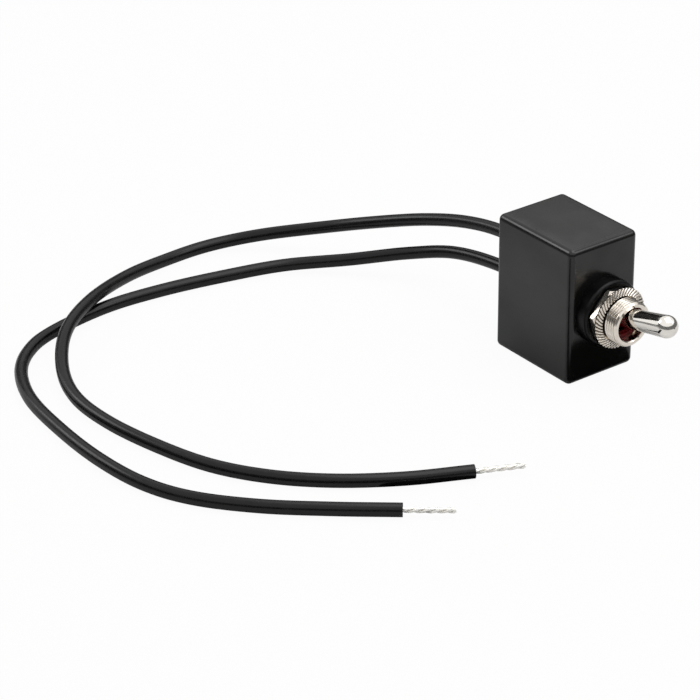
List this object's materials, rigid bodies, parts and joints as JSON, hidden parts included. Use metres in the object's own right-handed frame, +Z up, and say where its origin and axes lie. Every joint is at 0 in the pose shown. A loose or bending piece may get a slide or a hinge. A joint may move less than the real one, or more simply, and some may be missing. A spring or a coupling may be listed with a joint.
{
  "type": "panel toggle switch",
  "caption": "Potted panel toggle switch: black block housing with a threaded bushing, hex nut, serrated washer, chrome bat lever and two free wire leads with stripped ends.",
  "frame": {"origin": "centre of the housing's underside, on the surface that it stands on", "axes": "+Z up; -Y out of the front face along the bushing, towards the lever; +Y to the rear, where the leads leave; +X to the right seen from the front"},
  "size_m": [0.1396, 0.1552, 0.038],
  "materials": {
    "housing_plastic": "smooth glossy black moulding",
    "potting_resin": "poured black resin",
    "collar_black": "glossy black",
    "gasket_rubber": "matt black",
    "nickel": "bright nickel plate",
    "pin_steel": "ground",
    "red_rubber": "dark red",
    "lever_chrome": "polished plate",
    "brass": "plain",
    "spring_steel": "drawn wire",
    "frame_steel": "zinc plate",
    "case_phenolic": "moulded brown",
    "copper": "stamped",
    "contact_silver": "bright",
    "solder": "bright",
    "tinned_strands": "twisted tinned wire",
    "lead_insulation": "semi-gloss black"
  },
  "bodies": {
    "switch_body": {"housing": "housing_plastic", "potting": "potting_resin", "sealing_collar": "collar_black", "inner_gasket": "gasket_rubber", "panel_nut": "nickel", "serrated_washer": "nickel", "bushing": "nickel", "pivot_pin": "pin_steel", "lever_seal": "red_rubber", "frame_plate": "frame_steel", "switch_case": "case_phenolic", "fixed_contact": "contact_silver", "common_terminal": "brass", "load_terminal": "brass", "upper_solder_joint": "solder", "lower_solder_joint": "solder", "upper_lead_core": "tinned_strands", "lower_lead_core": "tinned_strands", "upper_lead": "lead_insulation", "lower_lead": "lead_insulation", "upper_stripped_end": "tinned_strands", "lower_stripped_end": "tinned_strands"},
    "lever": {"lever": "lever_chrome", "plunger_spring": "spring_steel"},
    "plunger": {"plunger": "brass"},
    "rocker": {"rocker_contact": "copper", "moving_contact": "contact_silver"}
  },
  "joints": [
    {"name": "lever_throw", "type": "hinge", "parent": "switch_body", "child": "lever", "pos_m": [0, -0.01855, 0.019], "axis": [1, 0, 0], "range_deg": [0, 27]},
    {"name": "rocker_tilt", "type": "hinge", "parent": "switch_body", "child": "rocker", "pos_m": [0, -0.00315, 0.019], "axis": [1, 0, 0], "range_deg": [-12, 0]},
    {"name": "plunger_slide", "type": "slide", "parent": "lever", "child": "plunger", "axis": [0, -0.9724, 0.2334], "range_m": [0, 0.00025], "stiffness_N_per_m": 200}
  ],
  "couplings": [
    {"joint": "rocker_tilt", "follows": "lever_throw", "ratio": -0.44444}
  ]
}
